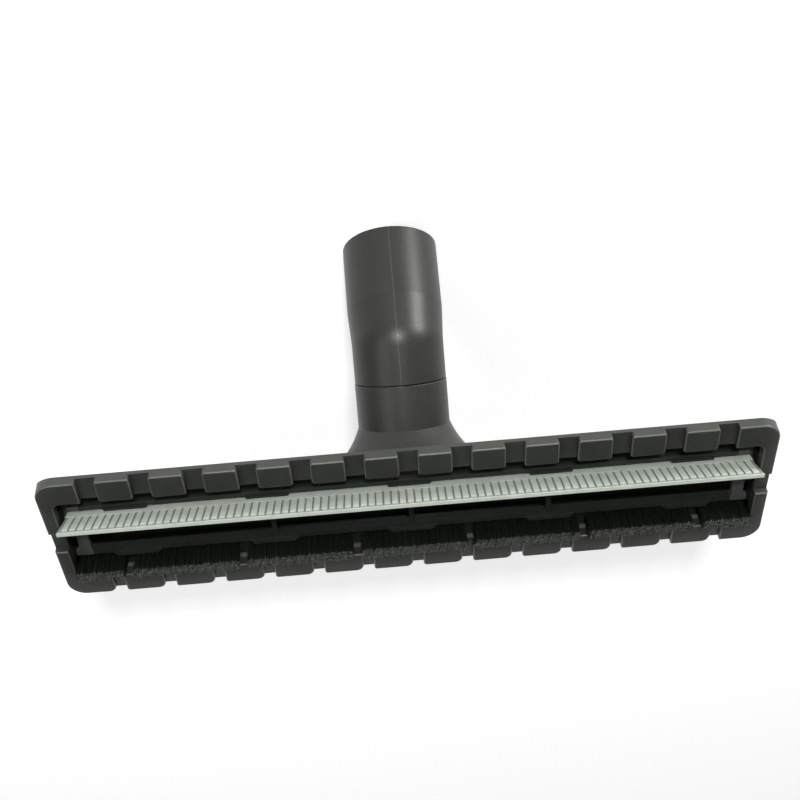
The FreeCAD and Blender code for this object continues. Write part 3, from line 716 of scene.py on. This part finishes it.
    def trim(self, item: bpy.types.Object, top: float) -> None:
        """Cuts the fibres' ends level, and their roots level with the top of the CAD node.

        Args:
            item: The stretch.
            top: The height of the top, in millimetres.
        """
        only(item)
        bpy.ops.object.mode_set(mode="EDIT")
        bpy.ops.mesh.select_all(action="SELECT")
        bpy.ops.mesh.bisect(
            plane_co=(0, 0, self.trim_height * MM), plane_no=(0, 0, 1),
            clear_inner=True, use_fill=True,
        )
        bpy.ops.mesh.select_all(action="SELECT")
        bpy.ops.mesh.bisect(
            plane_co=(0, 0, top * MM), plane_no=(0, 0, 1), clear_outer=True, use_fill=True,
        )
        bpy.ops.object.mode_set(mode="OBJECT")
        deselect_all()


def rounded(
    item: bpy.types.Object, radius: float, segments: int, wanted: Callable[[Vector, Vector], bool]
) -> None:
    """Rounds those edges of a piece that a test picks out.

    Args:
        item: The piece.
        radius: How far the round reaches, in millimetres.
        segments: Faces across the round.
        wanted: Says of an edge's two ends, in millimetres, whether it is rounded.
    """
    only(item)
    bpy.ops.object.mode_set(mode="EDIT")
    bpy.ops.mesh.select_mode(type="EDGE")
    bpy.ops.mesh.select_all(action="DESELECT")
    bpy.ops.object.mode_set(mode="OBJECT")
    for edge in item.data.edges:
        edge.select = wanted(*(item.data.vertices[end].co / MM for end in edge.vertices))
    bpy.ops.object.mode_set(mode="EDIT")
    bpy.ops.mesh.bevel(offset=radius * MM, segments=segments, affect="EDGES")
    bpy.ops.object.mode_set(mode="OBJECT")
    bpy.ops.object.shade_smooth_by_angle(angle=SMOOTH_ANGLE)
    deselect_all()


def block(name: str, low: Iterable[float], high: Iterable[float]) -> bpy.types.Object:
    """A box between two corners.

    Args:
        name: The piece's name.
        low: The lowest corner, in millimetres.
        high: The highest corner, in millimetres.

    Returns:
        The box, its object at the origin.
    """
    low, high = metres(low), metres(high)
    deselect_all()
    bpy.ops.mesh.primitive_cube_add(size=1, location=(low + high) / 2)
    item = bpy.context.active_object
    item.name = item.data.name = name
    item.scale = high - low
    bpy.ops.object.transform_apply(location=True, rotation=True, scale=True)
    return item


@dataclass
class Trim:
    """Small forms of the head that the solids leave out: pad ends, a rail flange and brush clips.

    The front pads are longer on their right, where their corner is well rounded.  Each gets a
    thin cover that fits over the solid pad.  The covers' and the clips' boxes are those of the
    leftmost ones, and their rounds are given as radius and faces.
    """

    pad_left: float = -125.25
    pad_pitch: float = 21.5
    pad_length: float = 16.9
    pad_count: int = 12
    pad_back: float = 50.42
    pad_front: float = 61.42
    pad_face: float = 3.6
    pad_top: float = 6.9
    cover: float = 0.03
    end_cut: float = 11.0
    corner_round: tuple[float, int] = (3.2, 6)
    small_round: tuple[float, int] = (1.1, 3)
    face_round: tuple[float, int] = (0.8, 3)
    flange: tuple[tuple[float, float, float], ...] = ((-141.9, 12.83, 11.2), (141.9, 15.52, 14.05))
    flange_round: tuple[float, int] = (0.3, 2)
    clip_left: float = -121.5
    clip_pitch: float = 48.6
    clip_count: int = 6
    clip: tuple[tuple[float, float, float], ...] = ((-2.0, 49.9, 8.0), (2.0, 52.8, 10.2))
    clip_round: tuple[float, int] = (0.35, 2)
    near: float = 0.1

    def build(
        self, body: bpy.types.Material, inner: bpy.types.Material, pale: bpy.types.Material
    ) -> list[bpy.types.Object]:
        """Builds all of them.

        Args:
            body: The band's material.
            inner: The inner pieces' material.
            pale: The clips' material.

        Returns:
            The pieces, riding on the head.
        """
        pads, clips = self.pads(), self.clips()
        for piece in pads:
            self.finish(piece, body, Slot.BODY)
        for piece in clips:
            self.finish(piece, pale, Slot.BODY)
        pieces = pads + clips
        flange = block("rail_flange", *self.flange)
        rounded(flange, *self.flange_round, lambda start, end: abs(start.x - end.x) > 1)
        self.finish(flange, inner, Slot.INNER)
        return pieces + [flange]

    def pads(self) -> list[bpy.types.Object]:
        """The covers of the front pads, and the longer end of the left corner pad."""
        low = (self.pad_left - self.cover, self.pad_back - self.cover, self.pad_face - self.cover)
        high = (self.pad_left + self.pad_length, self.pad_front + self.cover, self.pad_top)
        first = block("front_pad_1", low, high)
        rounded(first, *self.corner_round, lambda start, end: (
            abs(start.z - end.z) > 1
            and start.x > high[0] - self.near and start.y > high[1] - self.near))
        rounded(first, *self.small_round, lambda start, end: (
            abs(start.z - end.z) > 1 and start.x < low[0] + self.near))
        rounded(first, *self.face_round, lambda start, end: (
            max(start.z, end.z) < low[2] + self.near))
        covers = self.row(first, self.pad_pitch, self.pad_count)
        shift = Matrix.Translation(metres((-self.pad_pitch, 0, 0)))
        end = copy_of(first, "corner_pad_end", shift)
        only(end)
        bpy.ops.object.mode_set(mode="EDIT")
        bpy.ops.mesh.select_all(action="SELECT")
        cut = (self.pad_left - self.pad_pitch + self.end_cut) * MM
        bpy.ops.mesh.bisect(
            plane_co=(cut, 0, 0), plane_no=(1, 0, 0), clear_inner=True, use_fill=True,
        )
        bpy.ops.object.mode_set(mode="OBJECT")
        bpy.ops.object.shade_smooth_by_angle(angle=SMOOTH_ANGLE)
        deselect_all()
        return covers + [end]

    def clips(self) -> list[bpy.types.Object]:
        """The small blocks that hold the brush between its stretches."""
        first = block("brush_clip_1", *self.clip)
        rounded(first, *self.clip_round, lambda start, end: True)
        first.data.transform(Matrix.Translation(metres((self.clip_left, 0, 0))))
        return self.row(first, self.clip_pitch, self.clip_count)

    def row(self, first: bpy.types.Object, pitch: float, count: int) -> list[bpy.types.Object]:
        """Copies a piece along the head, with the copies numbered on from the first.

        Args:
            first: The leftmost piece, whose name ends in _1.
            pitch: From one to the next.
            count: How many there are in all.

        Returns:
            All of them, from left to right.
        """
        stem = first.name.removesuffix("_1")
        return [first] + [
            copy_of(
                first, "%s_%d" % (stem, number + 1),
                Matrix.Translation(metres((number * pitch, 0, 0))),
            )
            for number in range(1, count)
        ]

    def finish(self, piece: bpy.types.Object, material: bpy.types.Material, slot: Slot) -> None:
        """Gives a piece its material and lets it ride on the head.

        Args:
            piece: The piece.
            material: Its finish.
            slot: The record's slot for it; not used.
        """
        piece.data.materials.clear()
        piece.data.materials.append(material)
        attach(piece, "head")


@dataclass
class Mouldings:
    """The pieces that come from the CAD part as they are, each with its own finish."""

    shell: MouldedPlastic = MouldedPlastic("moulded shell plastic", "#181A16", "#1D1F1A", 0.42, 0.4)
    band: MouldedPlastic = MouldedPlastic(
        # Painted highlight on the rounds of the pads' edges.
        "moulded band plastic", "#292B27", "#2F312C", 0.42, 0.5, painted_edge_highlight_colour="#4E504C",
        # Painted shade on the band's inner walls above 8.35 mm.
        zones=(Zone("Z", 8.35, "#0F120F"),),
    )
    elbow: MouldedPlastic = MouldedPlastic(
        "moulded elbow plastic", "#13140F", "#181913", 0.41, 0.42, parting_mm=0.2,
    )
    inner: MouldedPlastic = MouldedPlastic(
        "moulded inner plastic", "#1B201C", "#202520", 0.5, 0.4,
        zones=(Zone("X", 136.9, "#424541", both_sides=True),),
    )
    clip: MouldedPlastic = MouldedPlastic("moulded clip plastic", "#4A4D49", "#52554F", 0.5, 0.4)
    lip: SqueegeeRubber = SqueegeeRubber()

    def dress(self, nodes: dict[str, bpy.types.Object]) -> list[bpy.types.Object]:
        """Gives each CAD piece its material and adds the trim in the same finishes.

        Args:
            nodes: The CAD objects by name.

        Returns:
            The trim's pieces.
        """
        shell, band, inner = self.shell.build(), self.band.build(), self.inner.build()
        finishes = {
            "housing": shell, "base_frame": band, "swivel_elbow": self.elbow.build(),
            "strip_carrier": inner, "brush_back": inner, "lock_ring": inner,
            "squeegee_lip": self.lip.build(),
        }
        for name, finish in finishes.items():
            for slot in nodes[name].material_slots:
                slot.material = finish
            LOG.info("dressed %s in %s", name, finish.name)
        return Trim().build(band, inner, self.clip.build())


@dataclass(frozen=True)
class Lamp:
    """A soft square lamp that is aimed at a point.

    The share is how bright a white surface that faces the lamp looks, as a part of full white.
    """

    name: str
    place: tuple[float, float, float]
    aim: tuple[float, float, float]
    side: float
    share: float

    def build(self) -> None:
        """Adds the lamp with the power that gives its share."""
        towards = metres(self.aim) - metres(self.place)
        light = bpy.data.lights.new(self.name, "AREA")
        light.shape = "SQUARE"
        light.size = self.side * MM
        light.energy = self.share * (math.pi * towards.length) ** 2
        item = bpy.data.objects.new(self.name, light)
        item.location = metres(self.place)
        item.rotation_euler = towards.to_track_quat("-Z", "Y").to_euler()
        bpy.context.scene.collection.objects.link(item)


@dataclass
class Studio:
    """Camera, lamps, the floor under the brush and the white ground behind it in the photograph.

    The floor shows from above only.  The ground is a card over the elbow's mouth that shows from
    below only, where the photograph looks from, and takes the brush's soft shadow there.
    """

    camera_place: tuple[float, float, float] = (-5.717, -389.991, -344.584)
    camera_turn: tuple[float, float, float] = (135.074, 3.749, 3.036)
    lens: float = 58.5
    sensor: float = 36.0
    ambient: float = 0.45
    floor_side: float = 6000.0
    card_height: float = 103.0
    card_glow: float = 0.31
    lamps: tuple[Lamp, ...] = (
        Lamp("lamp_over_camera", (40.0, -931.0, -640.0), (0, 0, 30), 105.0, 0.72),
        Lamp("lamp_behind", (-250.0, -1000.0, 60.0), (0, 0, 20), 600.0, 0.18),
        Lamp("lamp_right", (880.0, -730.0, 60.0), (0, -40, 60), 300.0, 0.92),
        Lamp("lamp_low_left", (-620.0, -460.0, -670.0), (0, -30, 40), 200.0, 0.22),
        Lamp("lamp_above", (250.0, 150.0, 1100.0), (0, 0, 20), 900.0, 0.4),
        Lamp("lamp_in_front", (-300.0, 1000.0, 500.0), (0, 0, 20), 800.0, 0.25),
    )

    def build(self) -> None:
        """Builds all of it."""
        self.set_camera()
        self.set_world()
        for lamp in self.lamps:
            lamp.build()
        self.add_ground("floor", 0.0, False, 0.0)
        self.add_ground("backdrop_card", self.card_height, True, self.card_glow)
        bpy.context.scene.view_settings.view_transform = "Standard"

    def set_camera(self) -> None:
        """Puts the camera where the photograph was taken from."""
        camera = bpy.data.cameras.new("camera")
        camera.lens = self.lens
        camera.sensor_width = self.sensor
        camera.clip_start = 0.01
        item = bpy.data.objects.new("camera", camera)
        item.location = metres(self.camera_place)
        item.rotation_euler = Euler([math.radians(angle) for angle in self.camera_turn], "XYZ")
        bpy.context.scene.collection.objects.link(item)
        bpy.context.scene.camera = item

    def set_world(self) -> None:
        """White where the camera or a reflection sees it, and plain soft light otherwise."""
        world = bpy.data.worlds.new("studio")
        world.use_nodes = True
        tree = world.node_tree
        tree.nodes.clear()
        light = add_node(
            tree, "ShaderNodeBackground", {"Color": (1, 1, 1, 1), "Strength": self.ambient},
        )
        white = add_node(tree, "ShaderNodeBackground", {"Color": (1, 1, 1, 1), "Strength": 1.0})
        shown = add_node(
            tree, "ShaderNodeMixShader", None,
            {0: self.seen(tree), 1: light.outputs[0], 2: white.outputs[0]},
        )
        add_node(tree, "ShaderNodeOutputWorld", None, {"Surface": shown.outputs[0]})
        bpy.context.scene.world = world

    def seen(self, tree: bpy.types.NodeTree) -> bpy.types.NodeSocket:
        """One for rays from the camera and through reflections or glass, zero for the rest.

        Args:
            tree: The nodes to add to.

        Returns:
            The socket that holds it.
        """
        path = add_node(tree, "ShaderNodeLightPath")
        straight = add_node(
            tree, "ShaderNodeMath", {"operation": "MAXIMUM"},
            {0: path.outputs["Is Camera Ray"], 1: path.outputs["Is Glossy Ray"]},
        )
        every = add_node(
            tree, "ShaderNodeMath", {"operation": "MAXIMUM"},
            {0: straight.outputs["Value"], 1: path.outputs["Is Transmission Ray"]},
        )
        return every.outputs["Value"]

    def add_ground(self, name: str, height: float, faces_down: bool, glow: float) -> None:
        """Adds a white plane that shows from one side and lets all other light through.

        Args:
            name: The plane's name.
            height: Its height above the floor.
            faces_down: True if it shows from below.
            glow: How much of its white is its own.
        """
        deselect_all()
        bpy.ops.mesh.primitive_plane_add(
            size=self.floor_side * MM, location=(0, 0, height * MM),
            rotation=(math.pi if faces_down else 0, 0, 0),
        )
        plane = bpy.context.active_object
        plane.name = name
        bpy.ops.object.transform_apply(location=True, rotation=True, scale=True)
        material, tree = new_material("matt white paper" if faces_down else "matt white floor")
        geometry = add_node(tree, "ShaderNodeNewGeometry")
        front = add_node(
            tree, "ShaderNodeMath", {"operation": "SUBTRACT", 0: 1.0},
            {1: geometry.outputs["Backfacing"]},
        )
        shows = add_node(
            tree, "ShaderNodeMath", {"operation": "MULTIPLY"},
            {0: front.outputs["Value"], 1: self.seen(tree)},
        )
        paper = add_node(tree, "ShaderNodeBsdfDiffuse", {"Color": (0.9, 0.9, 0.9, 1)})
        own = add_node(tree, "ShaderNodeEmission", {"Color": (1, 1, 1, 1), "Strength": glow})
        white = add_node(
            tree, "ShaderNodeAddShader", None, {0: paper.outputs[0], 1: own.outputs[0]},
        )
        clear = add_node(tree, "ShaderNodeBsdfTransparent")
        surface = add_node(
            tree, "ShaderNodeMixShader", None,
            {0: shows.outputs["Value"], 1: clear.outputs[0], 2: white.outputs[0]},
        )
        add_node(tree, "ShaderNodeOutputMaterial", None, {"Surface": surface.outputs[0]})
        plane.data.materials.append(material)
        deselect_all()


def main() -> None:
    """Loads the frame, dresses and builds every piece, and sets the studio."""
    logging.basicConfig(level=logging.INFO, format="%(message)s")
    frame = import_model()
    deselect_all()
    pieces = Mouldings().dress(frame["nodes"]) + Brush().build(NylonFibre().build())
    for piece in pieces:
        LOG.info("built %s with %d faces", piece.name, len(piece.data.polygons))
    Studio().build()
    LOG.info("set the studio")


if __name__ == "__main__":
    main()
